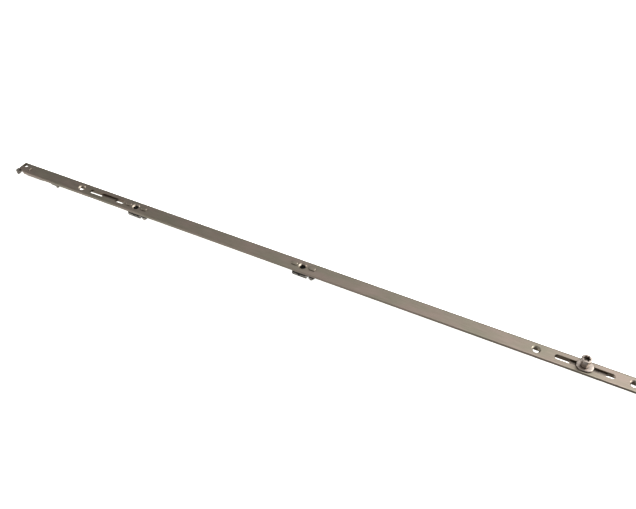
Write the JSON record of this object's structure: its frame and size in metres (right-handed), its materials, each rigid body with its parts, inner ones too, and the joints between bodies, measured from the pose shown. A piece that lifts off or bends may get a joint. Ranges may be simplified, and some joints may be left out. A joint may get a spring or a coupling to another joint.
{
  "type": "flush bolt",
  "caption": "Espagnolette-type flush bolt rail: narrow steel faceplate over a sliding drive rod with a locking cam, guide blocks and a coupling hook.",
  "frame": {"origin": "half way between the two outermost screw holes, on the outer face of the faceplate", "axes": "+X along the rail from the hooked end to the cam end, +Y across it, +Z out of the faceplate towards the frame"},
  "size_m": [0.7495, 0.016, 0.021],
  "materials": {
    "face_steel": "warm grey plated steel strip, satin",
    "rod_steel": "plated steel strip, satin",
    "block_zinc": "dark grey zinc die casting",
    "black_nylon": "black moulded nylon",
    "fastener_steel": "turned plated steel",
    "claw_steel": "dark stamped steel",
    "cam_steel": "plated steel, satin"
  },
  "bodies": {
    "rail": {"faceplate": "face_steel", "guide_block_left": "block_zinc", "rod_glide_left": "black_nylon", "screw_sleeve_left": "black_nylon", "block_rivets_left": "face_steel", "guide_block_middle": "block_zinc", "rod_glide_middle": "black_nylon", "screw_sleeve_middle": "black_nylon", "block_rivets_middle": "face_steel"},
    "drive_rod": {"drive_rod": "rod_steel", "coupling_claw": "claw_steel", "claw_rivets": "fastener_steel", "driver_lug": "claw_steel", "lug_rivets": "fastener_steel", "cam_guide_disc": "cam_steel", "cam_stud": "fastener_steel", "cam_slot_bush": "black_nylon", "cam_backing_washer": "fastener_steel", "cam_friction_washer": "fastener_steel", "cam_retaining_ring": "fastener_steel"},
    "locking_cam": {"locking_cam": "cam_steel"}
  },
  "joints": [
    {"name": "rod_slide", "type": "slide", "parent": "rail", "child": "drive_rod", "axis": [1, 0, 0], "range_m": [-0.018, 0.018]},
    {"name": "cam_turn", "type": "hinge", "parent": "drive_rod", "child": "locking_cam", "pos_m": [0.2605, 0, 0], "axis": [0, 0, 1], "continuous": true}
  ]
}
